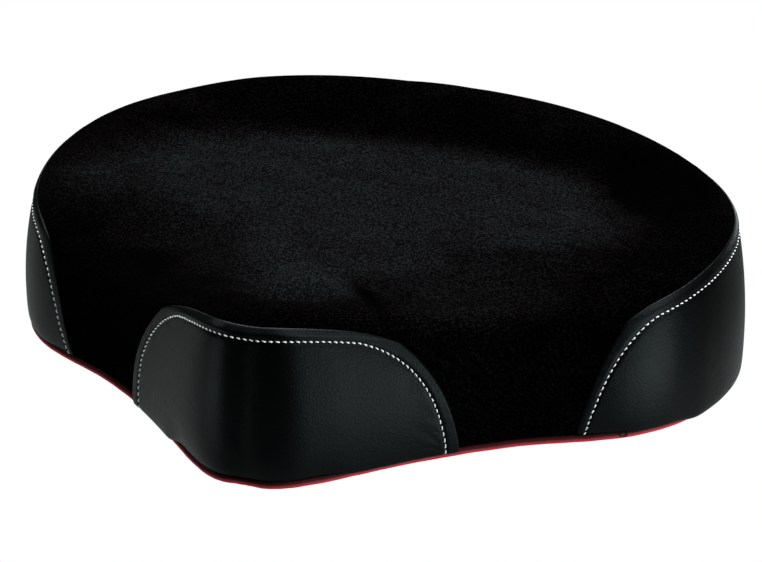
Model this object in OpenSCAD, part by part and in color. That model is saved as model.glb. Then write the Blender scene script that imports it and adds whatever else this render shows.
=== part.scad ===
// Saddle-shaped seat of a drum throne: a velour top and smooth side panels over two layers of
// foam, a plywood base with red piping round its edge, and a screw clamp for the stand's post.
// The origin is the centre of the post socket's mouth, +Z is up and the nose points towards -Y.
// Round the seat, s counts from 0 at the nose to 8 at the back and 16 at the nose again.
// Up the covers' wall, t counts from 0 at the piping through 1 at the widest height and 2 at
// the top of the wall to 3 on the crest of the rim.

/* [Seat] */
// Height of the piping's centre above the mouth of the post socket
seat_level = 45.8; // [44:0.1:50]
// How far the covers' wall bulges out past the sewn outline
bulge = 5; // [3:0.5:7]
// How far the wall leans back in from its widest height to its top
lean = 7; // [4:0.5:9]
// Radius of the roll from the wall over to the top
rim_r = 20; // [16:1:22]
// Height of the wall's widest point above the piping
widest = 24; // [20:1:28]

/* [Covers and foam] */
// Thickness of the covers
cover_t = 1.5; // [1:0.1:2]
// How far the smooth panels stand proud of the velour
panel_proud = 0.8; // [0.4:0.1:1.2]
// Space left between the covers and the foam
foam_gap = 1.7; // [1.2:0.1:2]
// Height above the piping where the two layers of foam meet
foam_split = 48; // [40:1:54]
// Height of the dish's floor above the piping at the centre of the seat
dish_level = 95; // [90:1:98]
// Radius of the topstitching's thread
thread_r = 0.5; // [0.4:0.05:0.7]

/* [Base] */
// Thickness of the plywood base
board_t = 12; // [10:1:15]
// How far the base is set in from the sewn outline
board_inset = 3.5; // [3:0.5:5]
// Outer radius of the piping
piping_r = 2.4; // [2:0.1:2.8]
// Thickness of the piping's vinyl
vinyl_t = 0.9; // [0.7:0.1:1]

/* [Bracket] */
// Radius of the post socket
post_r = 12.8; // [12.7:0.05:13]
// Outer radius of the post liner
liner_r = 16; // [15.5:0.5:17]
// Outer radius of the bracket's sleeve
sleeve_r = 24; // [23.5:0.5:25]
// Thickness of the bracket's plate
plate_t = 5; // [4:0.5:6]
// Diameter of the circle of the four mounting bolts
bolt_pcd = 96; // [90:1:104]
// Height of the clamp screw above the socket's mouth
screw_z = 23; // [22:0.5:24]
// Half the length of the T-handle
handle_half = 20; // [17:0.5:20.5]

/* [Hidden] */
$fn = 64;

velour_colour = [0.05, 0.05, 0.055];
leather_colour = [0.09, 0.09, 0.1];
foam_colour = [0.88, 0.82, 0.62];
felt_colour = [0.14, 0.14, 0.15];
steel_colour = [0.72, 0.73, 0.75];

// ---------- the sewn outline and the covers' surface ----------

// Half of the outline, from the nose round to the back: x, y and the height of the rim
rim_half = [[0, -185, 101], [22, -192, 106], [68, -139, 92], [138, -75, 71], [218, -47, 92],
            [244, 75, 107], [187, 137, 118], [116, 160, 129], [0, 188, 131]];
rim_ring = concat(rim_half, [for (i = [len(rim_half) - 2 : -1 : 1])
                             [-rim_half[i].x, rim_half[i].y, rim_half[i].z]]);
around = len(rim_ring);
back_s = around / 2;
hem_z = 2.5;

function ring_knot(i) = rim_ring[(i + around) % around];
function weighted(i, w) = w[0] * ring_knot(i - 1) + w[1] * ring_knot(i) + w[2] * ring_knot(i + 1)
                          + w[3] * ring_knot(i + 2);
function place_weights(f) = [pow(1 - f, 3), 3 * pow(f, 3) - 6 * f * f + 4,
                             -3 * pow(f, 3) + 3 * f * f + 3 * f + 1, pow(f, 3)] / 6;
function slope_weights(f) = [-pow(1 - f, 2), 3 * f * f - 4 * f, -3 * f * f + 2 * f + 1, f * f] / 2;
// A smooth closed curve through the ring: x, y and rim height at s
function rim_at(s) = weighted(floor(s), place_weights(s - floor(s)));
function rim_slope(s) = weighted(floor(s), slope_weights(s - floor(s)));
function outward(s) = let (d = rim_slope(s)) [d.y, -d.x] / norm([d.x, d.y]);
function outline(s, d = 0) = let (p = rim_at(s), o = outward(s)) [p.x + o.x * d, p.y + o.y * d];
// The outline moved w towards the centre of the seat
function inset(s, w) = let (p = outline(s)) p * (1 - w / norm(p));

// The wall's section, as distance out from the outline, height, and the surface's own direction
function tuck(t) = [bulge * sin(90 * t), hem_z + (widest - hem_z) * (1 - cos(90 * t)),
                    (widest - hem_z) * sin(90 * t), -bulge * cos(90 * t)];
function lean_angle(h) = atan(2 * lean / (h - rim_r - widest));
function wall_top(h) = h - rim_r * (1 - sin(lean_angle(h)));
function wall(t, h) = let (f = t - 1, rise = wall_top(h) - widest)
    [bulge - lean * f * f, widest + rise * f, rise, 2 * lean * f];
function roll(t, h) = let (from = lean_angle(h), a = from + (90 - from) * (t - 2))
    [bulge - lean - rim_r * (cos(from) - cos(a)), wall_top(h) + rim_r * (sin(a) - sin(from)),
     cos(a), sin(a)];
function section(t, h) = t < 1 ? tuck(t) : t < 2 ? wall(t, h) : roll(t, h);
// A point of the surface at s and t, or under it by depth
function cover_point(s, t, depth = 0) =
    let (c = section(t, rim_at(s).z), n = [c[2], c[3]] / norm([c[2], c[3]]),
         p = outline(s, c[0] - n.x * depth))
    [p.x, p.y, seat_level + c[1] - n.y * depth];
// t of the wall at a height above the piping
function t_at(s, z) = 1 + (z - widest) / (wall_top(rim_at(s).z) - widest);

// The top falls from the rim's crest to the dish's floor, which rises gently to the back
floor_rise = 0.06;
foot_far = 0.72;
foot_near = 0.35;
recess_h = 78;
full_h = 100;
pommel_y = -135;
pommel_r = 52;
pommel_h = 8;
function smooth(f) = let (g = min(1, max(0, f))) g * g * (3 - 2 * g);
function dish(p) = seat_level + dish_level + floor_rise * p.y;
function pommel(p) = pommel_h * smooth(1.5 - 1.5 * norm([p.x, p.y - pommel_y]) / pommel_r);
// Where the fall ends, as a part of the way out to the rim: further in at the thigh recesses
function foot(s) =
    foot_near + (foot_far - foot_near) * smooth((rim_at(s).z - recess_h) / (full_h - recess_h));
function top_point(s, q, depth = 0) =
    let (r = cover_point(s, 3), p = [r.x, r.y] * q, fall = smooth((q - foot(s)) / (1 - foot(s))))
    [p.x, p.y, dish(p) + (r.z - dish([r.x, r.y])) * fall + pommel(p) * (1 - fall) - depth];

// ---------- the panels' edges and the stations round the seat ----------

front_end = 2.5;
front_top = 2.36;
side_start = 3.33;
side_top = 2.2;
side_reach = 0.65;
// The topstitching runs one presser foot's width inside each panel's edge
stitch_front_end = 2.4;
stitch_front_top = 2.06;
stitch_side_start = 3.385;
stitch_side_top = 1.94;
stitch_side_reach = 0.6;
// The edges are superellipses: flat on top, with a round shoulder down to each end
front_power = [6.4, 2.3];
side_power = [2, 2.3];
back_climb = 0.12;
least_t = 0.15;
seam_gap_t = 0.02;

function front_line(s, top, end) =
    top * pow(1 - pow(min(1, abs(s) / end), front_power[0]), 1 / front_power[1]);
function side_line(s, top, start, reach) =
    (top + back_climb * pow((s - start) / (back_s - start), 2))
    * pow(1 - pow(1 - min(1, max(0, (s - start) / reach)), side_power[0]), 1 / side_power[1]);
// The edge of the smooth panels at s, or the bottom edge in the two velour gores
function panel_edge(s) =
    let (f = s > back_s ? around - s : s)
    f <= front_end ? max(least_t, front_line(f, front_top, front_end))
    : f >= side_start ? max(least_t, side_line(f, side_top, side_start, side_reach)) : 0;
function velour_edge(s) = let (t = panel_edge(s)) t > 0 ? t + seam_gap_t : 0;

front_half = [for (i = [0 : 9]) front_end * sin(10 * i)];
gore = [for (i = [1 : 3]) front_end + (side_start - front_end) * i / 4];
side = [for (i = [0 : 20]) side_start + (back_s - side_start) * pow(i / 20, 1.35)];
half_stations = concat(front_half, gore, side);
stations = concat(half_stations, [for (i = [len(half_stations) - 2 : -1 : 1]) around - half_stations[i]]);
front_stations = concat([for (i = [len(front_half) - 1 : -1 : 1]) -front_half[i]], front_half);

// ---------- shared builders ----------

function mean(points) = [for (p = points) 1] * points / len(points);
// Triangles of a strip-shaped section of n points, whose second half runs back along the first
function strip_end(n) = [for (j = [0 : n / 2 - 2]) each [[j, j + 1, n - 2 - j], [j, n - 2 - j, n - 1 - j]]];
function fan_end(n, centre) = [for (j = [0 : n - 1]) [j, (j + 1) % n, centre]];
function flipped(triangles, first) = [for (t = triangles) [t[1] + first, t[0] + first, t[2] + first]];

// A solid through sections with equal numbers of points, each anticlockwise seen from ahead.
// Its ends are closed by a fan round their middle, or across if the sections are strips; or it
// runs round and joins its own start.
module swept(sections, closed = false, strips = false) {
    n = len(sections[0]);
    m = len(sections);
    last = closed ? m - 1 : m - 2;
    sides = [for (i = [0 : last], j = [0 : n - 1])
             let (k = (i + 1) % m, l = (j + 1) % n, corner = i * n + j, far = k * n + l)
             each [[corner, k * n + j, far], [corner, far, i * n + l]]];
    tail_end = (m - 1) * n;
    ends = closed ? []
        : strips ? concat(strip_end(n), flipped(strip_end(n), tail_end))
        : concat(fan_end(n, m * n), flipped(fan_end(n, n + 1), tail_end));
    middles = closed || strips ? [] : [mean(sections[0]), mean(sections[m - 1])];
    polyhedron(points = concat([for (section = sections) each section], middles), faces = concat(sides, ends));
}

// Points of one level ring round the seat: at distance d from the outline, or under the wall
function level_ring(d, z) = [for (s = stations) let (p = outline(s, d)) [p.x, p.y, seat_level + z]];
function wall_ring(z, depth) =
    [for (s = stations)
     let (h = rim_at(s).z, p = outline(s, wall(t_at(s, z), h)[0] - depth)) [p.x, p.y, seat_level + z]];
function cover_ring(f, low, depth) = [for (s = stations) cover_point(s, low(s) + (3 - low(s)) * f, depth)];
function top_ring(q, depth) = [for (s = stations) top_point(s, q, depth)];
top_steps = [0.93, 0.86, 0.79, 0.7, 0.55, 0.35, 0.12];

// One cover panel along a run of stations; its hem sits on the piping
module panel(columns, rows = 9) {
    swept([for (s = columns)
           let (edge = panel_edge(s < 0 ? -s : s),
                inside = [for (j = [0 : rows]) cover_point(s, edge * j / rows, cover_t)],
                outside = [for (j = [rows : -1 : 0])
                           cover_point(s, edge * j / rows, j == 0 ? 0 : -panel_proud)])
           concat(inside, outside)], strips = true);
}

// A thread of round section along a list of points on the panels
module thread(points, sides = 6) {
    last = len(points) - 1;
    swept([for (i = [0 : last])
           let (run = points[min(last, i + 1)] - points[max(0, i - 1)],
                ahead = run / norm(run),
                across = cross(ahead, [0.31, 0.17, 0.93]),
                u = across / norm(across), v = cross(ahead, u))
           [for (a = [0 : sides - 1])
            points[i] + thread_r * (u * cos(360 * a / sides) + v * sin(360 * a / sides))]]);
}

// Staples with their crown at z, spaced round the seat at w in from the outline
module staples(count, w, z, leg, crown = 10, wire = 1) {
    for (i = [0 : count - 1]) {
        s = around * (i + 0.5) / count;
        p = inset(s, w);
        d = rim_slope(s);
        translate([p.x, p.y, seat_level + z])
            rotate([0, 0, atan2(d.y, d.x)]) {
                translate([-crown / 2, -wire / 2, 0]) cube([crown, wire, 0.6]);
                for (x = [-crown / 2, crown / 2 - wire])
                    translate([x, -wire / 2, 0]) cube([wire, wire, leg]);
            }
    }
}

slip = 0.05;

module at_bolts(z) {
    for (a = [45 : 90 : 315])
        rotate([0, 0, a]) translate([bolt_pcd / 2, 0, z]) children();
}

// ---------- base ----------

board_z = 0.9;
board_top = board_z + board_t;
bolt_r = 3;
plate_top = seat_level + board_z;
nut_flange_r = 9.5;
nut_flange_t = 1.5;
nut_barrel_r = 3.95;

module base_board() {
    color("burlywood")
        difference() {
            translate([0, 0, seat_level + board_z])
                linear_extrude(board_t)
                    polygon([for (s = stations) outline(s, -board_inset)]);
            at_bolts(plate_top - 1) cylinder(r = nut_barrel_r + 0.1, h = board_t + 2);
            at_bolts(plate_top + board_t - nut_flange_t) cylinder(r = nut_flange_r + 0.3, h = 3);
        }
}

module tee_nuts() {
    color(steel_colour)
        at_bolts(plate_top)
            difference() {
                union() {
                    translate([0, 0, 2]) cylinder(r = nut_barrel_r, h = board_t - 2);
                    translate([0, 0, board_t - nut_flange_t]) cylinder(r = nut_flange_r, h = nut_flange_t);
                }
                cylinder(r = bolt_r + slip, h = board_t + 1);
            }
}

// ---------- foam and covers ----------

glue_gap = 0.1;

module foam_base() {
    lip = -board_inset + 0.2;
    depth = cover_t + foam_gap;
    underside = [level_ring(lip, board_top + glue_gap), level_ring(lip, hem_z + depth + glue_gap)];
    flank = [for (j = [0 : 5]) [for (s = stations) cover_point(s, t_at(s, foam_split) * j / 6, depth)]];
    color(foam_colour) swept(concat(underside, flank, [wall_ring(foam_split - 2 * glue_gap, depth)]));
}

module foam_top() {
    split = function (s) t_at(s, foam_split);
    depth = cover_t + foam_gap;
    flank = [for (j = [1 : 6]) cover_ring(j / 6, split, depth)];
    top = [for (q = top_steps) top_ring(q, depth)];
    color(foam_colour) swept(concat([wall_ring(foam_split, depth)], flank, top));
}

module top_cover() {
    edge = function (s) velour_edge(s);
    rows = 9;
    inside = concat([for (i = [len(top_steps) - 1 : -1 : 0]) top_ring(top_steps[i], cover_t)],
                    [for (j = [rows : -1 : 0]) cover_ring(j / rows, edge, cover_t)]);
    outside = concat([for (j = [0 : rows]) cover_ring(j / rows, edge, 0)],
                     [for (q = top_steps) top_ring(q, 0)]);
    color(velour_colour) swept(concat(inside, outside));
}

module front_panel() {
    color(leather_colour) panel(front_stations);
}

module right_panel() {
    color(leather_colour) panel(side);
}

module left_panel() {
    color(leather_colour) mirror([1, 0, 0]) panel(side);
}

// ---------- topstitching ----------

function on_panel(s, t) = cover_point(s, t, -panel_proud - thread_r - 0.1);

module side_thread() {
    thread([for (i = [0 : 30])
            let (s = stitch_side_start + (back_s - 0.05 - stitch_side_start) * pow(i / 30, 1.6))
            on_panel(s, max(least_t, side_line(s, stitch_side_top, stitch_side_start, stitch_side_reach)))]);
}

module front_topstitch() {
    color("white")
        thread([for (i = [-18 : 18])
                let (s = stitch_front_end * sin(5 * i))
                on_panel(s, max(least_t, front_line(s, stitch_front_top, stitch_front_end)))]);
}

module right_topstitch() {
    color("white") side_thread();
}

module left_topstitch() {
    color("white") mirror([1, 0, 0]) side_thread();
}

// ---------- piping, skirt and dust cover ----------

// The vinyl wraps the cord and its two edges run in together under the base
tail = 8;
vinyl_gap = 0.1;
cord_r = piping_r - vinyl_t - vinyl_gap;

// Points of the piping's section at s, out from the outline and up from its centre
function piping_place(s, d, z) = let (p = outline(s, d)) [p.x, p.y, seat_level + z];
function arc(r, from, to, steps) = [for (i = [0 : steps]) let (a = from + (to - from) * i / steps)
                                    [r * cos(a), r * sin(a)]];
piping_section = concat([[-tail, vinyl_gap / 2]],
                        arc(piping_r - vinyl_t, 172, -172, 7),
                        [[-tail, -vinyl_gap / 2], [-tail, -0.8]],
                        arc(piping_r, -161, 161, 9),
                        [[-tail, 0.8]]);

module piping() {
    color([0.72, 0.09, 0.15])
        swept([for (s = stations) [for (p = piping_section) piping_place(s, p.x, p.y)]], closed = true);
}

module piping_cord() {
    color("ivory")
        swept([for (s = stations) [for (a = [330 : -60 : 30]) piping_place(s, cord_r * cos(a), cord_r * sin(a))]],
              closed = true);
}

skirt_t = 0.9;
skirt_z = -0.85 - skirt_t;
skirt_in = 34;

module pull_skirt() {
    color(velour_colour)
        translate([0, 0, seat_level + skirt_z])
            linear_extrude(skirt_t)
                difference() {
                    polygon([for (s = stations) outline(s, -3)]);
                    polygon([for (s = stations) inset(s, skirt_in)]);
                }
}

module skirt_staples() {
    color(steel_colour) staples(30, 15, skirt_z - 0.65, 7);
}

dust_t = 0.6;
dust_z = skirt_z - 0.05 - dust_t;
dust_hole_r = 64;
dust_in = 22;

module dust_cover() {
    color(felt_colour)
        difference() {
            translate([0, 0, seat_level + dust_z])
                linear_extrude(dust_t)
                    polygon([for (s = stations) inset(s, dust_in)]);
            translate([0, 0, seat_level + dust_z - 1]) cylinder(r = dust_hole_r, h = dust_t + 2);
        }
}

module dust_cover_staples() {
    color(steel_colour) staples(24, 28, dust_z - 0.65, 7);
}

// ---------- welded bracket and its fasteners ----------

socket_depth = 42;
liner_flange_t = 2;
plate_z = plate_top - plate_t;
pocket_w = 14.6;
pocket_h = 18.6;
pocket_from_y = 8;
pocket_y = 21.8;
boss_y = 40;
screw_r = 4;

disc_r = 34;
ear_r = 12;
rib_t = 5;
rib_foot_z = 14;
boss_r = 10;
bolt_play = 0.4;

module along_screw(y) {
    translate([0, y, screw_z]) rotate([-90, 0, 0]) children();
}

module shoe_pocket() {
    translate([-pocket_w / 2, pocket_from_y, screw_z - pocket_h / 2])
        cube([pocket_w, pocket_y - pocket_from_y, pocket_h]);
}

module bracket_plate() {
    color([0.1, 0.1, 0.11])
        difference() {
            union() {
                translate([0, 0, plate_z]) cylinder(r = disc_r, h = plate_t);
                for (a = [45 : 90 : 315])
                    rotate([0, 0, a]) {
                        translate([0, -ear_r, plate_z]) cube([bolt_pcd / 2, 2 * ear_r, plate_t]);
                        translate([bolt_pcd / 2, 0, plate_z]) cylinder(r = ear_r, h = plate_t);
                    }
            }
            translate([0, 0, plate_z - 1]) cylinder(r = sleeve_r, h = plate_t + 2);
            at_bolts(plate_z - 1) cylinder(r = bolt_r + bolt_play, h = plate_t + 2);
        }
}

// The tube that holds the post's liner, with a collar at its mouth and a tapped boss behind
module bracket_sleeve() {
    color([0.1, 0.1, 0.11])
        difference() {
            union() {
                translate([0, 0, liner_flange_t]) cylinder(r = sleeve_r, h = plate_top - liner_flange_t - 0.5);
                translate([0, 0, liner_flange_t]) cylinder(r = sleeve_r + 1.5, h = 4);
                along_screw(liner_r + 2) cylinder(r = boss_r, h = boss_y - liner_r - 2);
            }
            translate([0, 0, -1]) cylinder(r = liner_r + slip, h = socket_depth + 1);
            shoe_pocket();
            along_screw(0) cylinder(r = screw_r + slip, h = boss_y + 1);
        }
}

// Four webs from the sleeve up to the plate, ending short of the bolts' heads
module bracket_gussets() {
    tip = bolt_pcd / 2 - 8.5;
    color([0.1, 0.1, 0.11])
        for (a = [45 : 90 : 315])
            rotate([0, 0, a])
                difference() {
                    rotate([90, 0, 0])
                        translate([0, 0, -rib_t / 2])
                            linear_extrude(rib_t)
                                polygon([[sleeve_r - 1, rib_foot_z], [sleeve_r - 1, plate_z],
                                         [tip, plate_z], [tip, plate_z - 2]]);
                    translate([0, 0, rib_foot_z - 1]) cylinder(r = sleeve_r, h = plate_z);
                }
}

washer_t = 1.6;
lock_t = 2;
head_h = 4;

module flat_washers() {
    color(steel_colour)
        at_bolts(plate_z - washer_t)
            difference() {
                cylinder(r = 6, h = washer_t);
                translate([0, 0, -1]) cylinder(r = bolt_r + 0.2, h = washer_t + 2);
            }
}

module lock_washers() {
    color(steel_colour)
        at_bolts(plate_z - washer_t - lock_t)
            difference() {
                cylinder(r = 5.3, h = lock_t);
                translate([0, 0, -1]) cylinder(r = bolt_r + 0.1, h = lock_t + 2);
                translate([0, -0.5, -1]) cube([8, 1, lock_t + 2]);
            }
}

module bracket_bolts() {
    head_z = plate_z - washer_t - lock_t;
    color(steel_colour)
        at_bolts(head_z) {
            cylinder(r = bolt_r, h = 20);
            translate([0, 0, -head_h]) cylinder(r = 5.77, h = head_h, $fn = 6);
        }
}

module post_liner() {
    color([0.2, 0.2, 0.21])
        difference() {
            union() {
                cylinder(r = liner_r, h = socket_depth);
                cylinder(r = liner_r + 4, h = liner_flange_t);
            }
            translate([0, 0, -1]) cylinder(r = post_r, h = socket_depth + 2);
            shoe_pocket();
        }
}

// ---------- post clamp ----------

shoe_w = 14;
shoe_h = 18;
shoe_back = 20;
tip_r = 2.95;
tip_len = 4;

module clamp_shoe() {
    color(steel_colour)
        difference() {
            translate([-shoe_w / 2, 0, screw_z - shoe_h / 2]) cube([shoe_w, shoe_back, shoe_h]);
            translate([0, 0, -1]) cylinder(r = post_r + 0.2, h = socket_depth + 2);
            translate([0, shoe_back - tip_len - 0.3, screw_z])
                rotate([-90, 0, 0]) cylinder(r = tip_r + slip, h = tip_len + 2);
        }
}

handle_y = 47;
hub_r = 7.5;
hub_len = 13;
bar_r = 4.5;
pin_r = 1.25;

module clamp_screw() {
    color(steel_colour)
        difference() {
            union() {
                along_screw(shoe_back - tip_len) cylinder(r = tip_r, h = tip_len + 1);
                along_screw(shoe_back + 0.1) cylinder(r = screw_r, h = handle_y + hub_len - 3 - shoe_back);
            }
            translate([0, handle_y + hub_len / 2, 0]) cylinder(r = pin_r, h = 2 * screw_z);
        }
}

module t_handle() {
    color([0.1, 0.1, 0.11])
        difference() {
            union() {
                along_screw(handle_y) cylinder(r = hub_r, h = hub_len);
                translate([0, handle_y + hub_len / 2, screw_z]) rotate([0, 90, 0]) {
                    translate([0, 0, bar_r - handle_half]) cylinder(r = bar_r, h = 2 * (handle_half - bar_r));
                    for (x = [bar_r - handle_half, handle_half - bar_r])
                        translate([0, 0, x]) sphere(r = bar_r);
                }
            }
            along_screw(handle_y - 1) cylinder(r = screw_r + 0.02, h = hub_len - 1.5);
            translate([0, handle_y + hub_len / 2, 0]) cylinder(r = pin_r, h = 2 * screw_z);
        }
}

module handle_pin() {
    color(steel_colour)
        translate([0, handle_y + hub_len / 2, screw_z - hub_r + 0.5])
            cylinder(r = pin_r, h = 2 * hub_r - 1);
}

base_board();
tee_nuts();
foam_base();
foam_top();
top_cover();
front_panel();
right_panel();
left_panel();
front_topstitch();
right_topstitch();
left_topstitch();
piping();
piping_cord();
pull_skirt();
skirt_staples();
dust_cover();
dust_cover_staples();
bracket_plate();
bracket_sleeve();
bracket_gussets();
bracket_bolts();
lock_washers();
flat_washers();
post_liner();
clamp_shoe();
clamp_screw();
t_handle();
handle_pin();
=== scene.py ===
"""Looks for the drum throne's saddle seat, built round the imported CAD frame.

The covers, foam, piping and underside cloths are made here from the same outline and wall section
as the CAD. The board, bracket, fasteners, clamp and filler cord are the CAD's own nodes with better
materials.
Round the seat, s counts from 0 at the nose to 8 at the back and 16 at the nose again. Up the
covers' wall, t counts from 0 at the piping to 3 on the crest of the rim. Lengths here are in
millimetres until a mesh is made.
"""
import math

import bpy
import numpy as np
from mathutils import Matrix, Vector, kdtree


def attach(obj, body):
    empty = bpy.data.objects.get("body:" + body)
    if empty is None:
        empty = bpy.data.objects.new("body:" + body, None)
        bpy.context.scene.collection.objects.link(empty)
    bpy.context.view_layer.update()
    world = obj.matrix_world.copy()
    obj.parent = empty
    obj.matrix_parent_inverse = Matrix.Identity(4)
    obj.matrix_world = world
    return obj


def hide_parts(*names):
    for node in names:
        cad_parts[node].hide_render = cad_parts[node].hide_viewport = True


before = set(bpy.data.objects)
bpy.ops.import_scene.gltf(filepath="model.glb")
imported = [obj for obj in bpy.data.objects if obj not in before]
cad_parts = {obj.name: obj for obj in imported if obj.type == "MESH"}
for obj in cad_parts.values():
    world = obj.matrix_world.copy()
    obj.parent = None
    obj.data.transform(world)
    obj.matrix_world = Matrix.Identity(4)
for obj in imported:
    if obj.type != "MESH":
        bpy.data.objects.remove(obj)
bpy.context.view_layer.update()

MM = 0.001
SEAT_LEVEL = 45.8
AROUND = 16
BACK = 8.0

# ---------- the seat's surface ----------

# The outline's control points from the nose to the back: x, y and the rim's height over the piping.
RIM_HALF = [(0, -185, 101), (22, -192, 106), (68, -139, 92), (138, -75, 71), (218, -47, 92),
            (244, 75, 107), (187, 137, 118), (116, 160, 129), (0, 188, 131)]
RIM_RING = np.array(RIM_HALF + [(-x, y, h) for x, y, h in RIM_HALF[-2:0:-1]], float)
# The wall swells out by BULGE at the height WIDEST, leans in by LEAN and rolls over the rim.
BULGE = 3.8
LEAN = 7.0
RIM_R = 20.0
WIDEST = 24.0
# The hem's height, how far it drops where it droops, and how it runs on inwards below t = 0.
HEM_Z = 2.5
HEM_DROP = 4.5
HEM_FULL = 0.72
FOOT_IN = 3.0
FOOT_RISE = 0.6
CREST_T = 3.0
# Where the outward direction starts to be averaged, and over how much of s.
SOFTEN_FROM = 1.6
SOFTEN_REACH = 0.6
SOFTEN_W = 0.3


def ring_weights(f):
    """Weights of a uniform cubic B-spline's four control points, and of its slope."""
    place = np.stack([(1 - f) ** 3, 3 * f**3 - 6 * f**2 + 4, -3 * f**3 + 3 * f**2 + 3 * f + 1, f**3]) / 6
    slope = np.stack([-((1 - f) ** 2), 3 * f**2 - 4 * f, -3 * f**2 + 2 * f + 1, f**2]) / 2
    return place, slope


def rim_at(s):
    """x, y and rim height of the outline at s, and its slope."""
    s = np.asarray(s, float)
    first = np.floor(s).astype(int)
    place, slope = ring_weights(s - first)
    knots = np.stack([RIM_RING[(first + k) % AROUND] for k in (-1, 0, 1, 2)])
    return (place[..., None] * knots).sum(0), (slope[..., None] * knots).sum(0)


def unit(vectors):
    return vectors / np.linalg.norm(vectors, axis=-1, keepdims=True)


def hump(distance, width):
    """1 at no distance, falling off as a bell curve."""
    return np.exp(-((distance / width) ** 2))


def outward(s):
    """The level direction square to the outline at s."""
    _, d = rim_at(s)
    return unit(np.stack([d[..., 1], -d[..., 0]], -1))


def soft_outward(s):
    """The outward direction averaged over a short stretch, so that the rim's crest rounds corners."""
    spread = np.linspace(-SOFTEN_REACH, SOFTEN_REACH, 9)
    weight = hump(spread, SOFTEN_W)
    return unit(sum(w * outward(s + d) for w, d in zip(weight, spread)))


def smooth(f):
    """0 up to f = 0 and 1 from f = 1, with a soft step between."""
    g = np.clip(f, 0, 1)
    return g * g * (3 - 2 * g)


def wall_head(h):
    """The angle the wall leans in at its top, and the height where the rim's roll starts."""
    lean_angle = np.arctan(2 * LEAN / (h - RIM_R - WIDEST))
    return lean_angle, h - RIM_R * (1 - np.sin(lean_angle))


def section(t, h, droop=0.0):
    """Distance out from the outline, height above the piping, and the surface's direction.

    Where droop is over 0, the cover's bottom hangs fuller and lower, over the piping.
    """
    lean_angle, top = wall_head(h)
    a = np.pi / 2 * np.clip(t, 0, 1)
    hem = HEM_Z - HEM_DROP * droop
    tuck = (BULGE * np.sin(a) ** (1 - HEM_FULL * droop), hem + (WIDEST - hem) * (1 - np.cos(a)),
            (WIDEST - HEM_Z) * np.sin(a), -BULGE * np.cos(a))
    f = np.clip(t - 1, 0, 1)
    wall = (BULGE - LEAN * f**2, WIDEST + (top - WIDEST) * f, top - WIDEST, 2 * LEAN * f)
    b = lean_angle + (np.pi / 2 - lean_angle) * np.clip(t - 2, 0, 1)
    roll = (BULGE - LEAN - RIM_R * (np.cos(lean_angle) - np.cos(b)),
            top + RIM_R * (np.sin(b) - np.sin(lean_angle)), np.cos(b), np.sin(b))
    tail = (FOOT_IN * t, hem + FOOT_RISE * t, 0 * t, -1 + 0 * t)
    return [np.where(t < 0, u, np.where(t < 1, x, np.where(t < 2, y, z)))
            for u, x, y, z in zip(tail, tuck, wall, roll)]


def cover_point(s, t, lift=0.0, droop=0.0):
    """Points of the covers at s and t, lifted off the surface, in mm in the row frame."""
    s, t = np.broadcast_arrays(np.asarray(s, float), np.asarray(t, float))
    place, _ = rim_at(s)
    d, z, out, up = section(t, place[..., 2], droop)
    size = np.hypot(out, up)
    mix = smooth((t - SOFTEN_FROM) / (CREST_T - SOFTEN_FROM))[..., None]
    o = unit(outward(s) * (1 - mix) + soft_outward(s) * mix)
    xy = place[..., :2] + o * (d + lift * out / size)[..., None]
    return np.concatenate([xy, (SEAT_LEVEL + z + lift * up / size)[..., None]], -1)


DISH_LEVEL = 95.0
FLOOR_RISE = 0.06
FOOT_FAR = 0.72
FOOT_NEAR = 0.35
RECESS_H = 78.0
FULL_H = 100.0
# The corners of the pad on the nose, and how softly it slopes off beyond each of its sides.
POMMEL = ((2.0, -66.0), (-54.0, -136.0), (60.0, -130.0))
POMMEL_SOFT = (30.0, 60.0, 17.0)
POMMEL_H = 11.0
POMMEL_BLEND = 0.12


def pommel(x, y):
    """Height of the three-cornered pad on the nose, steepest along its right-hand edge."""
    corners = np.array(POMMEL)
    total = 0.0
    for a, b, soft in zip(corners, np.roll(corners, -1, 0), POMMEL_SOFT):
        along = unit(b - a)
        inside = (x - a[0]) * -along[1] + (y - a[1]) * along[0]
        total = total + np.exp(-(inside / soft) / POMMEL_BLEND)
    return POMMEL_H * smooth(-POMMEL_BLEND * np.log(total))


def top_point(s, q, lift=0.0):
    """Points of the top, from the rim's crest at q = 1 to the middle of the seat at q = 0."""
    s, q = np.broadcast_arrays(np.asarray(s, float), np.asarray(q, float))
    crest = cover_point(s, CREST_T)
    h = rim_at(s)[0][..., 2]
    foot = FOOT_NEAR + (FOOT_FAR - FOOT_NEAR) * smooth((h - RECESS_H) / (FULL_H - RECESS_H))
    x, y = crest[..., 0] * q, crest[..., 1] * q
    floor = SEAT_LEVEL + DISH_LEVEL + FLOOR_RISE * y
    crest_floor = SEAT_LEVEL + DISH_LEVEL + FLOOR_RISE * crest[..., 1]
    fall = smooth((q - foot) / (1 - foot))
    z = floor + (crest[..., 2] - crest_floor) * fall + pommel(x, y) * (1 - fall) + lift
    return np.stack([x, y, z], -1)


# ---------- the panels' edges ----------

FRONT_END = 2.5
FRONT_TOP = 2.36
SIDE_START = 3.33
SIDE_TOP = 2.2
SIDE_REACH = 0.65
SIDE_CLIMB = 0.12
SIDE_POWER = 2.3
FRONT_POWERS = (6.4, 2.3)
STITCH_POWERS = (8.7, 2.4)
# The stitch lines' highest t and end on the nose, and their highest t, start and reach on the sides.
STITCH_FRONT = (2.06, 2.4)
STITCH_SIDE = (1.94, 3.385, 0.6)


def front_line(s, top, end, powers=FRONT_POWERS):
    """t along a line over the nose that comes down to the hem at both ends."""
    return top * (1 - np.clip(np.abs(s) / end, 0, 1) ** powers[0]) ** (1 / powers[1])


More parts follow.
